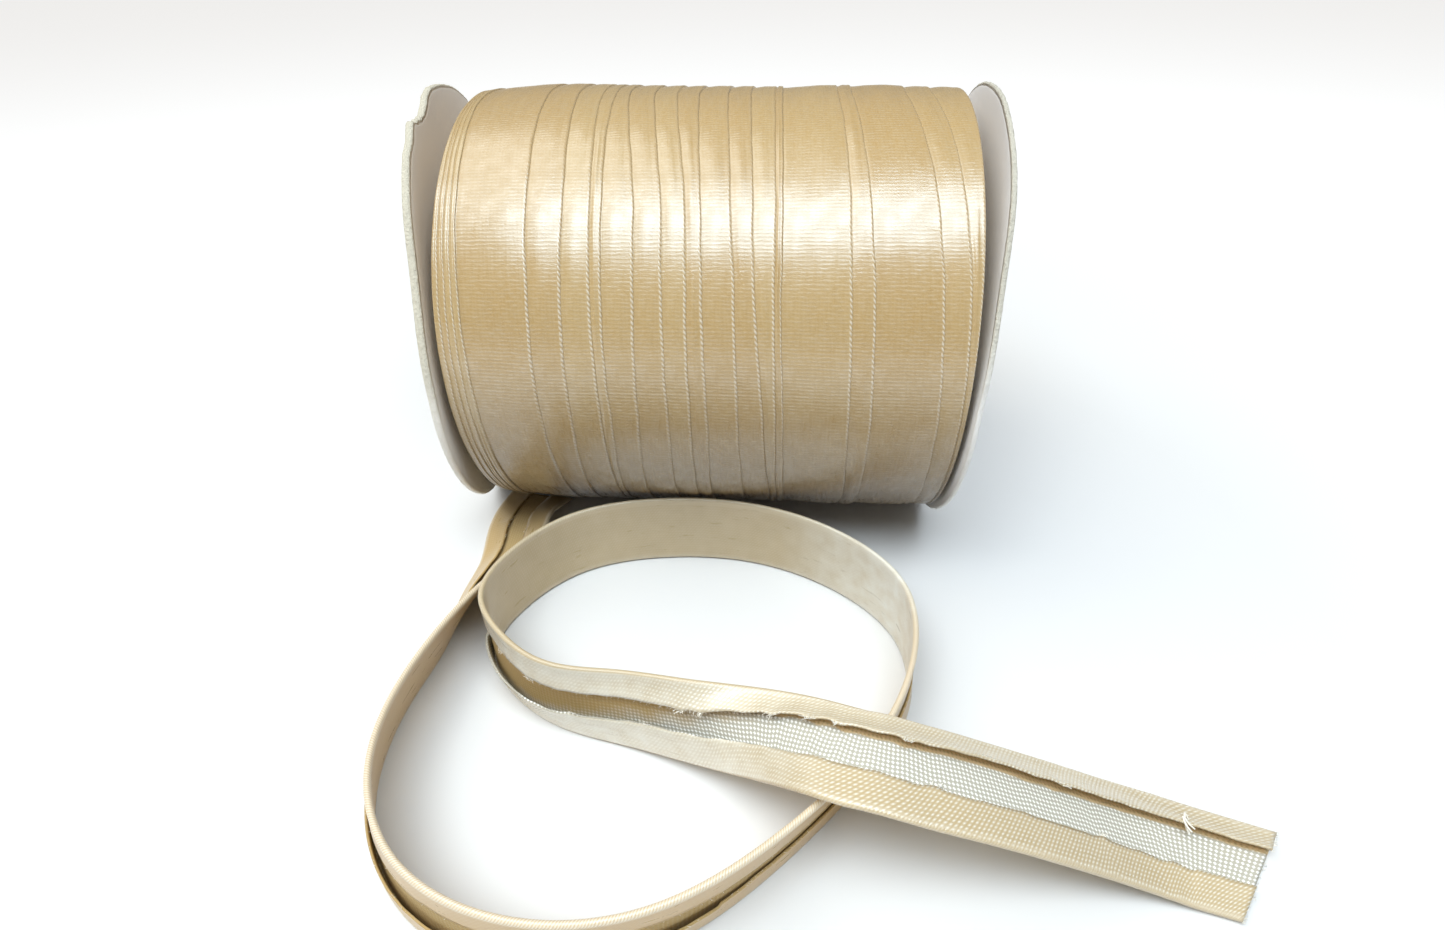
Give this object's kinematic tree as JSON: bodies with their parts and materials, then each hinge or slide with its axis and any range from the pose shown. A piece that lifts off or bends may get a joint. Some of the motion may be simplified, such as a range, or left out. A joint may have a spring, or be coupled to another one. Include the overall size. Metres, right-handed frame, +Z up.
{
  "type": "satin bias tape",
  "caption": "Roll of folded satin bias tape between cardboard end discs, its loose end led out, looped on edge and laid flat.",
  "frame": {"origin": "middle of the footprint, on the table", "axes": "+Z up from the table, +X along the roll's axis towards the side where the loose end lies flat, -Y towards the loop of loose tape"},
  "size_m": [0.1426, 0.1518, 0.0822],
  "materials": {
    "satin_wound": "satin",
    "satin_loose": "satin",
    "card_left": "matte",
    "card_right": "matte"
  },
  "bodies": {
    "root": {"wound_tape": "satin_wound", "loose_tape": "satin_loose", "end_disc_left": "card_left", "end_disc_right": "card_right"}
  },
  "joints": []
}
